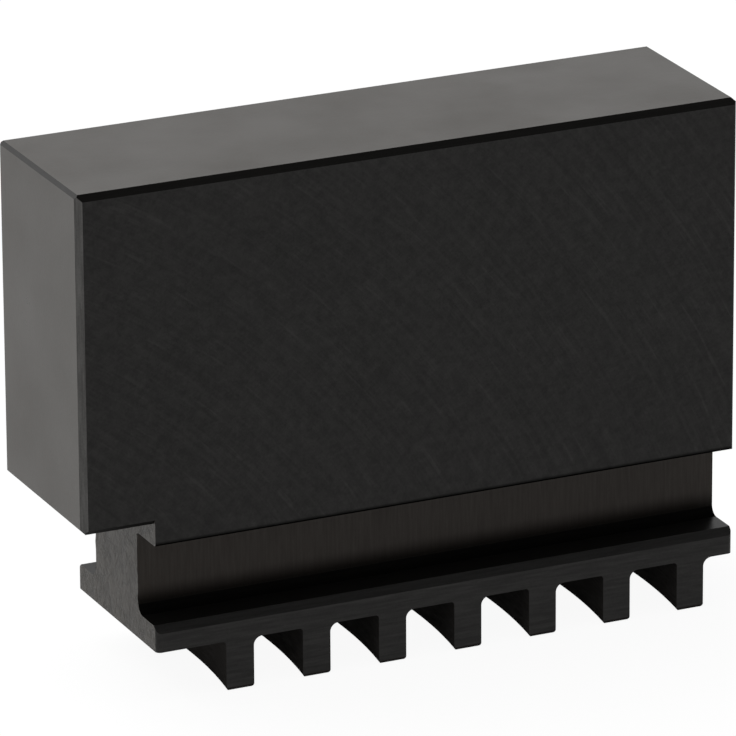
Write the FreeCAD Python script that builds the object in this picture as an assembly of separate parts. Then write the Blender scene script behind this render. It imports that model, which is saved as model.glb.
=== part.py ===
import FreeCAD, Part
import math
import os

# A machinable soft jaw for a self-centring scroll chuck, one solid piece of steel.
# It slides in the chuck body on two guide grooves, and the scroll of the chuck drives
# the curved teeth underneath it.
#
# Frame, in millimetres: the origin is on the plane of the tooth tips, below the middle
# of the jaw. +X runs from the nose, at the chuck's centre, to the rear end, +Y runs
# across the thickness and +Z runs up to the head that the user machines.

# Whole jaw
thickness = 19.2            # across Y, one side face to the other
nose_overhang = 7.4         # the head stands this far in front of the base

# Heights, from the tooth tips upwards
tooth_height = 5.15
flange_thickness = 2.6      # plate between the teeth and the floor of the grooves
groove_height = 8.2
nose_relief = 2.2           # the nose's underside lies this far above the groove roofs
head_height = 35.85         # groove roof to top face

# Chamfers of the head
long_chamfer = 0.6          # side edges of the top face and upright edges of the nose
underside_chamfer = 0.5     # around the nose's underside
end_chamfer = 0.35          # top edges across the nose and the rear end
rear_chamfer = 0.25         # upright edges of the rear end
lip_chamfer = 0.2           # lower edges of the side faces, above the grooves

# Guide grooves, one in each side
groove_depth = 4.4
groove_floor_radius = 1.0
groove_roof_radius = 0.3
flange_chamfer = 0.7        # upper outer edges of the flange, below the grooves
flange_corner_radius = 0.5  # upright corners of the flange

# Scroll teeth
tooth_count = 7
scroll_pitch = 8.0
tooth_thickness = 3.75      # on the middle plane of the jaw
outer_flank_radius = 30.0   # rearward flank, bulging: clears the smallest turn of the scroll
inner_flank_radius = 65.0   # nose side flank, hollow: clears the largest turn of the scroll
outer_root_radius = 0.85
inner_root_radius = 0.35
tip_radius = 0.45
entry_land = 11.6           # base's front end to the first tooth's rearward flank
rear_land = 1.6             # last tooth's rearward flank to the rear end

# How far a cutter runs past the material that it cuts
cutter_margin = 2.0

# Places that follow from the sizes
base_length = entry_land + (tooth_count - 1) * scroll_pitch + rear_land
jaw_length = nose_overhang + base_length
nose_x = -jaw_length / 2
base_x = nose_x + nose_overhang
rear_x = base_x + base_length
side_y = thickness / 2
neck_y = side_y - groove_depth
root_z = tooth_height
floor_z = root_z + flange_thickness
roof_z = floor_z + groove_height
nose_z = roof_z + nose_relief
top_z = roof_z + head_height

# Two points closer than this are the same place when edges are picked
same_place = 1e-3


def point(x, y, z):
    return FreeCAD.Vector(x, y, z)


def prism(outline, direction):
    """Solid swept from a closed plane outline."""
    return Part.Face(outline).extrude(direction)


def edge_points(edge):
    """Start, middle and end of an edge."""
    first, last = edge.ParameterRange
    return [edge.valueAt(first), edge.valueAt((first + last) / 2), edge.valueAt(last)]


def pick_edges(shape, wanted):
    """Edges whose start, middle and end all pass the test."""
    return [edge for edge in shape.Edges if all(wanted(p) for p in edge_points(edge))]


def near(value, place):
    return abs(value - place) < same_place


def blank():
    """Side outline of the whole jaw, as thick as the jaw."""
    corners = [
        (nose_x, nose_z),
        (base_x, nose_z),
        (base_x, 0),
        (rear_x, 0),
        (rear_x, top_z),
        (nose_x, top_z),
    ]
    outline = Part.makePolygon([point(x, -side_y, z) for x, z in corners + corners[:1]])
    return prism(outline, point(0, thickness, 0))


def guide_groove(side):
    """Cutter for the guide groove of one side: side is -1 at the front, 1 at the back."""
    corner_y = side * neck_y
    depth = groove_depth + cutter_margin
    cutter = Part.makeBox(base_length + 2 * cutter_margin, depth, groove_height)
    cutter.translate(point(base_x - cutter_margin, min(corner_y, corner_y + side * depth), floor_z))
    for height, radius in ((floor_z, groove_floor_radius), (roof_z, groove_roof_radius)):
        inner = pick_edges(cutter, lambda p: near(p.y, corner_y) and near(p.z, height))
        cutter = cutter.makeFillet(radius, inner)
    return cutter


def flank(apex_x, radius):
    """Arc in plan that bulges rearwards to apex_x and runs past both side faces."""
    reach = side_y + cutter_margin
    end_x = apex_x - radius + math.sqrt(radius ** 2 - reach ** 2)
    return Part.Arc(point(end_x, -reach, 0), point(apex_x, 0, 0), point(end_x, reach, 0)).toShape()


def end_line(x):
    """Straight side of a cutter that runs out past an end of the base."""
    reach = side_y + cutter_margin
    return Part.LineSegment(point(x, -reach, 0), point(x, reach, 0)).toShape()


def tooth_gap(front_side, rear_side):
    """Cutter between two lines in plan, with the root fillets of the flanks beside it."""
    ends = []
    for pick in (0, -1):
        start = front_side.Vertexes[pick].Point
        finish = rear_side.Vertexes[pick].Point
        ends.append(Part.LineSegment(start, finish).toShape())
    outline = Part.Wire(Part.__sortEdges__([front_side, ends[1], rear_side, ends[0]]))
    cutter = prism(outline, point(0, 0, root_z + cutter_margin))
    cutter.translate(point(0, 0, -cutter_margin))
    for radius, root in ((outer_flank_radius, outer_root_radius), (inner_flank_radius, inner_root_radius)):
        roots = [
            edge for edge in cutter.Edges
            if near(edge.BoundBox.ZMin, root_z)
            and isinstance(edge.Curve, Part.Circle)
            and near(edge.Curve.Radius, radius)
        ]
        if roots:
            cutter = cutter.makeFillet(root, roots)
    return cutter


def tooth_gaps():
    """Cutters that leave the scroll teeth standing under the flange."""
    gaps = []
    front_side = end_line(base_x - cutter_margin)
    for number in range(tooth_count):
        outer_x = base_x + entry_land + number * scroll_pitch
        gaps.append(tooth_gap(front_side, flank(outer_x - tooth_thickness, inner_flank_radius)))
        front_side = flank(outer_x, outer_flank_radius)
    gaps.append(tooth_gap(front_side, end_line(rear_x + cutter_margin)))
    return gaps


def along_side(p):
    return near(abs(p.y), side_y)


def on_long_edge(p):
    """Side edges of the top face and upright edges of the nose."""
    return along_side(p) and (near(p.z, top_z) or (near(p.x, nose_x) and p.z > roof_z))


def under_nose(p):
    """Outer edges of the nose's underside."""
    at_outside = near(p.x, nose_x) or near(abs(p.y), side_y)
    return near(p.z, nose_z) and p.x < base_x + same_place and at_outside


def across_top(p):
    return near(p.z, top_z) and (near(p.x, nose_x) or near(p.x, rear_x))


def rear_upright(p):
    return along_side(p) and near(p.x, rear_x) and p.z > roof_z - same_place


def flange_corner(p):
    """Upright corners of the flange."""
    at_end = near(p.x, base_x) or near(p.x, rear_x)
    return along_side(p) and at_end and root_z - same_place < p.z < floor_z


def ease_edges(jaw):
    """Chamfers and rounds of the finished jaw, each beside wider ones that are already cut."""
    chamfers = (
        (flange_chamfer, lambda p: along_side(p) and near(p.z, floor_z)),
        (underside_chamfer, under_nose),
        (long_chamfer, on_long_edge),
        (end_chamfer, across_top),
        (rear_chamfer, rear_upright),
        (lip_chamfer, lambda p: along_side(p) and near(p.z, roof_z)),
    )
    for size, wanted in chamfers:
        jaw = jaw.makeChamfer(size, pick_edges(jaw, wanted))
    jaw = jaw.makeFillet(flange_corner_radius, pick_edges(jaw, flange_corner))
    return jaw.makeFillet(tip_radius, pick_edges(jaw, lambda p: near(p.z, 0)))


def soft_jaw():
    jaw = blank()
    jaw = jaw.cut([guide_groove(-1), guide_groove(1)] + tooth_gaps()).removeSplitter()
    return ease_edges(jaw)


jaw = soft_jaw()
os.makedirs("parts", exist_ok=True)
jaw.exportStep("parts/soft_jaw.step")
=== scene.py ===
import math

import bmesh
import bpy
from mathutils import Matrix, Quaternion, Vector, noise


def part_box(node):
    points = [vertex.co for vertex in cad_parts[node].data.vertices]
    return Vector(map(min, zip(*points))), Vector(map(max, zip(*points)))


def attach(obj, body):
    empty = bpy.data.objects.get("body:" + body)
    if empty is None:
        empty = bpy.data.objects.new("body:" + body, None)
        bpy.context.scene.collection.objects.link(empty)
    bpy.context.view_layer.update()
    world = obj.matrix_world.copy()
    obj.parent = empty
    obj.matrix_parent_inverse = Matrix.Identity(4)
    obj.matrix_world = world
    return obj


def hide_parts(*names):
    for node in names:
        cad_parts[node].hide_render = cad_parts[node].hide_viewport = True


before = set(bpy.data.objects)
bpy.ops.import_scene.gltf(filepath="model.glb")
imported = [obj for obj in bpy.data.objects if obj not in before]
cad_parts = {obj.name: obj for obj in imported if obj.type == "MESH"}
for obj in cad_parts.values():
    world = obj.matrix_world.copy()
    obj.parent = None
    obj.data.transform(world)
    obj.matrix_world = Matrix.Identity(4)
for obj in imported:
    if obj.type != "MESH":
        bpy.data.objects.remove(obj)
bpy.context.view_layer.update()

# A machinable soft jaw, dressed for a studio picture. The solid's own surface gets eased
# edges, broken edges where its base was sawn off, and one blackened steel for each way in
# which its faces were made; some of these also carry painted shade or painted light.
# Blender's lengths are in metres, and the named ones here are in millimetres unless their
# comment says otherwise.

MM = 0.001
JAW = "soft_jaw"

jaw_low, jaw_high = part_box(JAW)
middle = (jaw_low + jaw_high) / 2


# ---------------------------------------------------------------- the solid's sizes

TOOTH_HEIGHT = 5.15
FLANGE_THICKNESS = 2.6
GROOVE_HEIGHT = 8.2
GROOVE_DEPTH = 4.4
GROOVE_FLOOR_RADIUS = 1.0
LIP_CHAMFER = 0.2
NOSE_RELIEF = 2.2
NOSE_OVERHANG = 7.4

# Levels and places of its faces
TIP_Z = jaw_low.z / MM
ROOT_Z = TIP_Z + TOOTH_HEIGHT
FLOOR_Z = ROOT_Z + FLANGE_THICKNESS
ROOF_Z = FLOOR_Z + GROOVE_HEIGHT
LIP_Z = ROOF_Z + LIP_CHAMFER
NOSE_Z = ROOF_Z + NOSE_RELIEF
BASE_X = jaw_low.x / MM + NOSE_OVERHANG
REAR_X = jaw_high.x / MM
NECK_Y = jaw_high.y / MM - GROOVE_DEPTH

# How near counts as the same place
CLOSE = 0.02


# ---------------------------------------------------------------- shader wiring

class Signal:
    """The output of a node, as a value that expressions can use."""

    def __init__(self, shader, socket):
        self.shader = shader
        self.socket = socket

    def maths(self, operation, *values):
        sockets = dict(enumerate(values))
        return self.shader.node("ShaderNodeMath", {"operation": operation}, sockets)

    def __add__(self, other):
        return self.maths("ADD", self, other)

    __radd__ = __add__

    def __mul__(self, other):
        return self.maths("MULTIPLY", self, other)

    __rmul__ = __mul__

    def __sub__(self, other):
        return self.maths("SUBTRACT", self, other)

    def __rsub__(self, other):
        return self.maths("SUBTRACT", other, self)

    def power(self, exponent):
        return self.maths("POWER", self, exponent)

    def least(self, other):
        return self.maths("MINIMUM", self, other)

    def most(self, other):
        return self.maths("MAXIMUM", self, other)

    def ramp(self, low, high, to_low=0.0, to_high=1.0):
        """A smooth step from to_low to to_high while the value goes from low to high."""
        return self.shader.node(
            "ShaderNodeMapRange",
            {"interpolation_type": "SMOOTHSTEP"},
            {"Value": self, "From Min": low, "From Max": high, "To Min": to_low, "To Max": to_high})


class Shader:
    """Builds the node tree of one material or of the world."""

    def __init__(self, owner):
        owner.use_nodes = True
        self.tree = owner.node_tree
        self.tree.nodes.clear()

    def node(self, kind, settings=None, sockets=None, output=0):
        """Adds a node: its settings first, then what feeds its sockets."""
        made = self.tree.nodes.new(kind)
        for name, value in (settings or {}).items():
            setattr(made, name, value)
        for name, value in (sockets or {}).items():
            if isinstance(value, Signal):
                self.tree.links.new(value.socket, made.inputs[name])
            else:
                made.inputs[name].default_value = value
        return Signal(self, made.outputs[output]) if made.outputs else None

    def place(self):
        """Where the shaded point lies on the piece, in millimetres, as x, y and z."""
        spot = self.node("ShaderNodeTexCoord", output="Object")
        in_mm = self.node("ShaderNodeVectorMath", {"operation": "SCALE"}, {0: spot, "Scale": 1 / MM})
        return [self.node("ShaderNodeSeparateXYZ", sockets={0: in_mm}, output=axis) for axis in "XYZ"]

    def vector(self, x, y, z):
        return self.node("ShaderNodeCombineXYZ", sockets={"X": x, "Y": y, "Z": z})

    def grain(self, spot, scale=1.0, detail=2.0, roughness=0.5, distortion=0.0):
        """Cloudy noise between 0 and 1."""
        return self.node(
            "ShaderNodeTexNoise",
            {"noise_dimensions": "3D"},
            {"Vector": spot, "Scale": scale, "Detail": detail, "Roughness": roughness,
             "Distortion": distortion})

    def blend(self, share, first, second):
        """A colour between two others."""
        return self.node(
            "ShaderNodeMix", {"data_type": "RGBA"}, {"Factor": share, 6: first, 7: second}, output=2)

    def seen(self):
        """1 for what the camera, a reflection or a clear body looks at, 0 for lighting."""
        rays = ("Is Camera Ray", "Is Glossy Ray", "Is Transmission Ray")
        camera_ray, glossy_ray, clear_ray = [
            self.node("ShaderNodeLightPath", output=ray) for ray in rays]
        return (camera_ray + glossy_ray + clear_ray).least(1.0)


# ---------------------------------------------------------------- machining marks

# Centres that a cup wheel's two passes and a saw turned about, in the plane of their face
DOWN_WHEEL = (-75.0, -30.0)
UP_WHEEL = (60.0, -45.0)
SAW = (-14.0, 2.0)


def streaks(shader, x, y, z, across):
    """Fine parallel lines: a high figure for the axis that they are packed along."""
    spot = shader.vector(x * across[0], y * across[1], z * across[2])
    return shader.grain(spot, detail=3.0, roughness=0.6)


def arcs(shader, x, z, centre, across, along):
    """Lines on circles about a centre: fine across the circles, long along them."""
    dx = x - centre[0]
    dz = z - centre[1]
    radius = (dx * dx + dz * dz).power(0.5)
    turn = shader.node("ShaderNodeMath", {"operation": "ARCTAN2"}, {0: dz, 1: dx})
    spot = shader.vector(radius * across, turn * along, 0.0)
    return shader.grain(spot, detail=2.0, roughness=0.6)


def ground_marks(shader, x, y, z):
    """Soft crossing sweeps of a cup wheel, a few deeper scratches and an uneven bloom."""
    down_sweep = arcs(shader, x, z, DOWN_WHEEL, 2.6, 5.0)
    down_scratch = arcs(shader, x, z, DOWN_WHEEL, 1.5, 11.0).ramp(0.58, 0.72)
    up_sweep = arcs(shader, x, z, UP_WHEEL, 2.8, 5.0)
    bloom = shader.grain(shader.vector(x, y, z), scale=1.3, detail=5.0, roughness=0.7)
    return 0.3 * down_sweep + 0.12 * up_sweep + 0.58 * bloom + 0.14 * down_scratch


def satin_marks(shader, x, y, z):
    """Cloudy grain of a face that was ground and then rubbed down."""
    lines = streaks(shader, x, y, z, (0.6, 2.5, 2.0))
    bloom = shader.grain(shader.vector(x, y, z), scale=0.55, detail=6.0, roughness=0.7)
    return 0.35 * lines + 0.65 * bloom


def upright_marks(shader, x, y, z):
    """Close upright lines of a side cutter's teeth."""
    return streaks(shader, x, y, z, (4.5, 1.0, 0.25))


def lengthwise_marks(shader, x, y, z):
    """Lines of a cutter that ran from end to end."""
    return streaks(shader, x, y, z, (0.25, 4.0, 4.0))


def flank_marks(shader, x, y, z):
    """Lines of a form cutter around the curved flanks."""
    return streaks(shader, x, y, z, (2.0, 0.4, 5.0))


def sawn_marks(shader, x, y, z):
    """Uneven, blotched face with faint curved lines."""
    lumps = shader.grain(
        shader.vector(x, y, z), scale=0.7, detail=6.0, roughness=0.7, distortion=0.8)
    curves = arcs(shader, y, z, SAW, 1.6, 3.0)
    return (0.8 * lumps + 0.2 * curves).ramp(0.36, 0.62)


# ---------------------------------------------------------------- painted shade

# The painted shade line above the head's lip: its height, and how far ahead of the base it fades out
LIP_LINE = 0.35
LIP_FADE = 0.3

# Heights above a groove's floor between which the painted shade on its wall thins out
WALL_SHADE_FULL = 0.6
WALL_SHADE_GONE = 2.9


def lip_painted_shade(shader, x, y, z):
    """Painted shade: a dark line along the lower edge of the head's side faces, behind the nose."""
    above = z.ramp(LIP_Z, LIP_Z + LIP_LINE, 0.8, 0.0)
    return above * x.ramp(BASE_X - LIP_FADE, BASE_X)


def groove_painted_shade(shader, x, y, z):
    """Painted shade: black on a guide groove's wall, growing towards its foot."""
    return z.ramp(FLOOR_Z + WALL_SHADE_FULL, FLOOR_Z + WALL_SHADE_GONE, 0.85, 0.0)


# ---------------------------------------------------------------- finishes

BLACK_OXIDE = (0.010, 0.0098, 0.0095, 1.0)
WARM_OXIDE = (0.0140, 0.0108, 0.0070, 1.0)
DULL_OXIDE = (0.004, 0.0038, 0.0035, 1.0)
FLANK_OXIDE = (0.016, 0.0148, 0.0138, 1.0)
BROWN_OXIDE = (0.0145, 0.0115, 0.0090, 1.0)
BARE_STEEL = (0.40, 0.39, 0.375, 1.0)
PLAIN_SHEEN = (1.0, 0.985, 0.97, 1.0)
WARM_SHEEN = (1.0, 0.965, 0.925, 1.0)
# Near-black of the painted shade film
PAINTED_SHADE_BLACK = (0.0015, 0.0015, 0.0014, 1.0)

# Repeats of the noise in a millimetre: the oxide's fine grain, and clouds over the jaw
GRAIN_SCALE = 4.5
CLOUD_SCALE = 0.11


def tinted(colour, share):
    """The colour made lighter, or darker below 1."""
    return tuple(c * share for c in colour[:3]) + (1.0,)


def steel_material(name, marks, tone=BLACK_OXIDE, spread=0.3, rough=0.34, rough_spread=0.08,
                   specular=0.15, bare=(0.0, 0.02), bump_depth=0.01, sheen=PLAIN_SHEEN, painted_shade=None):
    """Blackened steel, with bare steel showing through where its marks stand highest.

    marks(shader, x, y, z) gives the machining marks, 0 in their furrows to 1 on their ridges.
    bare is how much bare steel shows in the furrows and on the ridges, and below 0 none does.
    painted_shade(shader, x, y, z) is how far a near-black film of painted shade covers the spot.
    """
    material = bpy.data.materials.new(name)
    shader = Shader(material)
    x, y, z = shader.place()
    cut = marks(shader, x, y, z)
    spot = shader.vector(x, y, z)
    grain = shader.grain(spot, scale=GRAIN_SCALE, detail=3.0, roughness=0.6)
    cloud = shader.grain(spot, scale=CLOUD_SCALE, detail=3.0)
    shade = 0.4 * cut + 0.25 * grain + 0.35 * cloud
    colour = shader.blend(shade, tinted(tone, 1 - spread), tinted(tone, 1 + spread))
    height = 0.6 * cut + 0.4 * grain
    bump = shader.node(
        "ShaderNodeBump", sockets={"Strength": 1.0, "Distance": bump_depth * MM, "Height": height})
    oxide = shader.node("ShaderNodeBsdfPrincipled", sockets={
        "Base Color": colour, "Roughness": rough + rough_spread * (cut + cloud - 1.0), "Normal": bump,
        "Specular IOR Level": specular, "Specular Tint": sheen, "IOR": 1.5})
    steel = shader.node("ShaderNodeBsdfPrincipled", sockets={
        "Base Color": BARE_STEEL, "Roughness": 0.4, "Metallic": 1.0, "Normal": bump})
    through = (0.75 * cut + 0.25 * grain).ramp(0.25, 0.8, bare[0], bare[1])
    surface = shader.node("ShaderNodeMixShader", sockets={0: through, 1: oxide, 2: steel})
    # Painted shade: a near-black matt film mixed over the steel where the mask says shade falls.
    if painted_shade:
        shade_film = shader.node("ShaderNodeBsdfDiffuse", sockets={"Color": PAINTED_SHADE_BLACK, "Normal": bump})
        shade_cover = (painted_shade(shader, x, y, z) + 0.25 * (grain - 0.5)).most(0.0).least(1.0)
        surface = shader.node("ShaderNodeMixShader", sockets={0: shade_cover, 1: surface, 2: shade_film})
    shader.node("ShaderNodeOutputMaterial", sockets={"Surface": surface})
    return material


def make_finishes():
    """One material for each way in which the faces were made, some of them also carrying painted shade
    or painted light.
    """
    return {
        # The ground side faces get a line of painted shade above the lip.
        "ground": steel_material(
            "ground_side", ground_marks, spread=0.5, specular=0.095, bare=(-0.008, 0.029),
            painted_shade=lip_painted_shade),
        # Its larger share of bare steel than the side faces' is partly painted light: it makes the top
        # and the ends lighter, as if lit from above.
        "satin": steel_material(
            "satin_end", satin_marks, tone=WARM_OXIDE, rough_spread=0.2, specular=0.31,
            bare=(-0.01, 0.07), sheen=WARM_SHEEN),
        "sawn": steel_material(
            "sawn_end", sawn_marks, tone=WARM_OXIDE, spread=0.6, rough=0.42, specular=0.22,
            bare=(0.0, 0.06), bump_depth=0.12, sheen=WARM_SHEEN),
        "rubbed": steel_material(
            "rubbed_edge", upright_marks, rough=0.4, specular=0.2, bare=(0.05, 0.16)),
        "worn": steel_material(
            "worn_edge", satin_marks, rough=0.36, specular=0.2, bare=(0.0, 0.03)),
        "filed": steel_material(
            "filed_edge", lengthwise_marks, tone=DULL_OXIDE, rough=0.55, specular=0.03,
            bare=(0.0, 0.008)),
        # The lip chamfer's near-black tone, with no reflection, is painted shade under the head.
        "lip": steel_material(
            "lip_edge_painted_shade", lengthwise_marks, tone=tinted(DULL_OXIDE, 0.4), rough=0.7, specular=0.0,
            bare=(0.0, 0.003)),
        # The groove foot's near-black tone, with no reflection, is painted shade in the groove's
        # corner.
        "foot": steel_material(
            "groove_foot_painted_shade", lengthwise_marks, tone=tinted(DULL_OXIDE, 0.5), rough=0.6, specular=0.0,
            bare=(0.0, 0.002)),
        # The groove wall gets painted shade, darker towards its foot.
        "neck": steel_material(
            "groove_wall", upright_marks, tone=BROWN_OXIDE, specular=0.12, bare=(0.0, 0.018),
            painted_shade=groove_painted_shade),
        "floor": steel_material(
            "groove_floor", lengthwise_marks, tone=DULL_OXIDE, specular=0.14, bare=(0.0, 0.004)),
        "milled": steel_material(
            "milled_side", lengthwise_marks, specular=0.12, bare=(-0.004, 0.024)),
        "flank": steel_material(
            "tooth_flank", flank_marks, tone=FLANK_OXIDE, rough=0.7, specular=0.0,
            bare=(0.0, 0.012)),
    }


# ---------------------------------------------------------------- the faces

# The least part of a face's normal that lies along an axis, for a face that is square to
# the axis and for a chamfer that slants to it
SQUARE = 0.99
SLANTED = 0.6


def head_finish(normal, centre):
    """Finish of a face above the guide grooves."""
    if abs(normal.y) > SQUARE:
        return "ground"
    if abs(normal.x) > SQUARE:
        return "sawn" if abs(centre.x - BASE_X) < CLOSE else "satin"
    if abs(normal.z) > SQUARE:
        return "satin" if normal.z > 0 else "milled"
    if normal.z < -SLANTED and abs(normal.y) > SLANTED and centre.z < NOSE_Z - CLOSE:
        return "lip"
    if normal.x < -SLANTED and abs(normal.y) > SLANTED:
        return "rubbed"
    if normal.x < -SLANTED and normal.z > SLANTED:
        return "worn"
    return "filed"


def groove_finish(normal, centre):
    """Finish of a face of the guide grooves or the flange."""
    if abs(normal.y) > SQUARE:
        return "neck" if abs(centre.y) < NECK_Y + CLOSE else "milled"
    if centre.z < FLOOR_Z - CLOSE or normal.z < 0:
        return "milled"
    return "floor" if normal.z > SQUARE else "foot"


def tooth_finish(normal, centre):
    """Finish of a face of the teeth or of the roots between them."""
    return "milled" if abs(normal.y) > SQUARE or centre.z < TIP_Z + CLOSE else "flank"


def finish_of(face):
    """The finish that a face of the solid gets, by which way it looks and where it lies."""
    normal = face.normal
    centre = face.calc_center_median() / MM
    if normal.x > SQUARE and centre.x > REAR_X - CLOSE:
        return "satin"
    if centre.z > ROOF_Z + CLOSE:
        return head_finish(normal, centre)
    if abs(normal.x) > SQUARE and centre.x < BASE_X + CLOSE:
        return "sawn"
    if centre.z > ROOT_Z + CLOSE:
        return groove_finish(normal, centre)
    return tooth_finish(normal, centre)


# ---------------------------------------------------------------- the jaw

# Broken edges of the base's sawn end: the strip that they keep to, how far they stay below
# the groove's roof, the cuts along each edge, how deep they bite, and two sizes of bite as
# repeats of the noise in a metre
BROKEN_STRIP = 0.5
BROKEN_HEADROOM = 0.2
BROKEN_CUTS = 22
BROKEN_DEPTH = 0.22
WIDE_BITES = 1100
SMALL_BITES = 2900

# Edges sharper than this many degrees are eased, by this width and in this many steps
SHARP = 25
EASED_WIDTH = 0.1
EASED_STEPS = 3

# Facets that lie within this many degrees are one face, and corners this near are one
LEVEL = 0.05
WELDED = 0.0005


def roughen_cut_end(shape):
    """Breaks the straight edges between the base's sawn end and its guide grooves."""
    groove_faces = [
        face for face in shape.faces
        if FLOOR_Z - GROOVE_FLOOR_RADIUS < face.calc_center_median().z / MM < ROOF_Z - CLOSE
        and abs(face.normal.x) < 0.5]
    edges = {edge for face in groove_faces for edge in face.edges}
    corners = {corner for face in groove_faces for corner in face.verts}
    bmesh.ops.bisect_plane(
        shape, geom=[*corners, *edges, *groove_faces], dist=0.001 * MM,
        plane_co=((BASE_X + BROKEN_STRIP) * MM, 0, 0), plane_no=(1, 0, 0))
    walls = [
        edge for edge in shape.edges
        if all(abs(v.co.x / MM - BASE_X) < CLOSE and abs(abs(v.co.y) / MM - NECK_Y) < CLOSE
               and FLOOR_Z < v.co.z / MM < ROOF_Z - BROKEN_HEADROOM for v in edge.verts)]
    made = bmesh.ops.subdivide_edges(shape, edges=walls, cuts=BROKEN_CUTS)
    for corner in made["geom_inner"]:
        if isinstance(corner, bmesh.types.BMVert):
            wide = noise.noise(corner.co * WIDE_BITES)
            small = noise.noise(corner.co * SMALL_BITES)
            depth = max(0.5 + wide + 0.5 * small, 0.0) * BROKEN_DEPTH * MM
            corner.co.y -= math.copysign(depth, corner.co.y)


def finished_jaw():
    """A copy of the solid's surface, with a finish for each face and eased edges."""
    finishes = make_finishes()
    order = list(finishes)
    shape = bmesh.new()
    shape.from_mesh(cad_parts[JAW].data)
    bmesh.ops.remove_doubles(shape, verts=shape.verts, dist=WELDED * MM)
    bmesh.ops.dissolve_limit(
        shape, angle_limit=math.radians(LEVEL), verts=shape.verts, edges=shape.edges)
    roughen_cut_end(shape)
    for face in shape.faces:
        face.material_index = order.index(finish_of(face))
    sharp = [
        edge for edge in shape.edges
        if edge.is_manifold and edge.calc_face_angle() > math.radians(SHARP)]
    bmesh.ops.bevel(
        shape, geom=sharp, offset=EASED_WIDTH * MM, offset_type="OFFSET", affect="EDGES",
        segments=EASED_STEPS, profile=0.5, clamp_overlap=True, material=-1)
    mesh = bpy.data.meshes.new("jaw_body")
    shape.to_mesh(mesh)
    shape.free()
    mesh.shade_smooth()
    for material in finishes.values():
        mesh.materials.append(material)
    jaw = bpy.data.objects.new("jaw_body", mesh)
    bpy.context.scene.collection.objects.link(jaw)
    normals = jaw.modifiers.new("face normals", "WEIGHTED_NORMAL")
    normals.weight = 100
    normals.keep_sharp = True
    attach(jaw, "root")
    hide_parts(JAW)


# ---------------------------------------------------------------- studio

WHITE = (1.0, 1.0, 1.0, 1.0)
PALE = (0.92, 0.92, 0.92, 1.0)
DIM = (0.05, 0.05, 0.05, 1.0)

# Metres
FLOOR_SPAN = 4.0

# How much of the floor's look is plain white; the rest shows the jaw's shadow
WHITE_SHARE = 0.93

# Strength of the light all round, and how high up, from 0 level to 1 overhead, what is
# seen of the studio begins to dim and is dim
ROUND_LIGHT = 0.7
DIM_FROM = 0.45
DIM_BY = 0.85


def studio_floor():
    """Pale floor that looks white and keeps a soft shadow."""
    shape = bmesh.new()
    bmesh.ops.create_grid(shape, x_segments=1, y_segments=1, size=FLOOR_SPAN / 2)
    bmesh.ops.translate(shape, verts=shape.verts, vec=(0, 0, jaw_low.z))
    mesh = bpy.data.meshes.new("studio_floor")
    shape.to_mesh(mesh)
    shape.free()
    floor = bpy.data.objects.new("studio_floor", mesh)
    bpy.context.scene.collection.objects.link(floor)
    material = bpy.data.materials.new("pale_floor")
    shader = Shader(material)
    matt = shader.node("ShaderNodeBsdfDiffuse", sockets={"Color": PALE})
    white = shader.node("ShaderNodeEmission", sockets={"Color": WHITE, "Strength": 1.0})
    mixed = shader.node(
        "ShaderNodeMixShader", sockets={0: WHITE_SHARE * shader.seen(), 1: matt, 2: white})
    shader.node("ShaderNodeOutputMaterial", sockets={"Surface": mixed})
    mesh.materials.append(material)


def studio_world():
    """Soft light all round; what is seen of it is white low down and dim overhead."""
    world = bpy.data.worlds.new("studio")
    bpy.context.scene.world = world
    shader = Shader(world)
    way = shader.node("ShaderNodeTexCoord", output="Generated")
    up = shader.node("ShaderNodeSeparateXYZ", sockets={0: way}, output="Z")
    look = shader.blend(up.ramp(DIM_FROM, DIM_BY), WHITE, DIM)
    light = shader.node("ShaderNodeBackground", sockets={"Color": WHITE, "Strength": ROUND_LIGHT})
    seen = shader.node("ShaderNodeBackground", sockets={"Color": look, "Strength": 1.0})
    mixed = shader.node("ShaderNodeMixShader", sockets={0: shader.seen(), 1: light, 2: seen})
    shader.node("ShaderNodeOutputWorld", sockets={"Surface": mixed})


def softbox(name, place, width, power):
    """Square area lamp that faces the jaw, placed in metres from its middle."""
    lamp = bpy.data.lights.new(name, "AREA")
    lamp.shape = "SQUARE"
    lamp.size = width
    lamp.energy = power
    holder = bpy.data.objects.new(name, lamp)
    bpy.context.scene.collection.objects.link(holder)
    holder.location = middle + Vector(place)
    holder.rotation_euler = (middle - holder.location).to_track_quat("-Z", "Y").to_euler()


# ---------------------------------------------------------------- camera

# Degrees round from the front towards the nose, above level, and of roll
CAMERA_TURN = 24.658
CAMERA_RISE = 19.792
CAMERA_ROLL = -0.343

# The point it looks at, its lens and the width of its sensor in millimetres, and its
# distance from that point in metres
CAMERA_AIM = (0.0329, 0.8312, 26.3258)
CAMERA_LENS = 387.16
SENSOR_WIDTH = 36.0
CAMERA_DISTANCE = 0.7619


def camera():
    """Long lens, a little above the front, turned towards the nose."""
    turn = math.radians(CAMERA_TURN)
    rise = math.radians(CAMERA_RISE)
    back = Vector((-math.sin(turn) * math.cos(rise), -math.cos(turn) * math.cos(rise), math.sin(rise)))
    lens = bpy.data.cameras.new("camera")
    lens.sensor_width = SENSOR_WIDTH
    lens.lens = CAMERA_LENS
    lens.clip_start = 0.05
    lens.clip_end = 20.0
    eye = bpy.data.objects.new("camera", lens)
    bpy.context.scene.collection.objects.link(eye)
    eye.location = Vector(CAMERA_AIM) * MM + back * CAMERA_DISTANCE
    level = back.to_track_quat("Z", "Y")
    eye.rotation_euler = (Quaternion(back, math.radians(CAMERA_ROLL)) @ level).to_euler()
    bpy.context.scene.camera = eye


bpy.context.scene.view_settings.view_transform = "Standard"
finished_jaw()
studio_floor()
studio_world()
softbox("key_softbox", (-0.25, 0.25, 0.55), 0.5, 4.0)
camera()
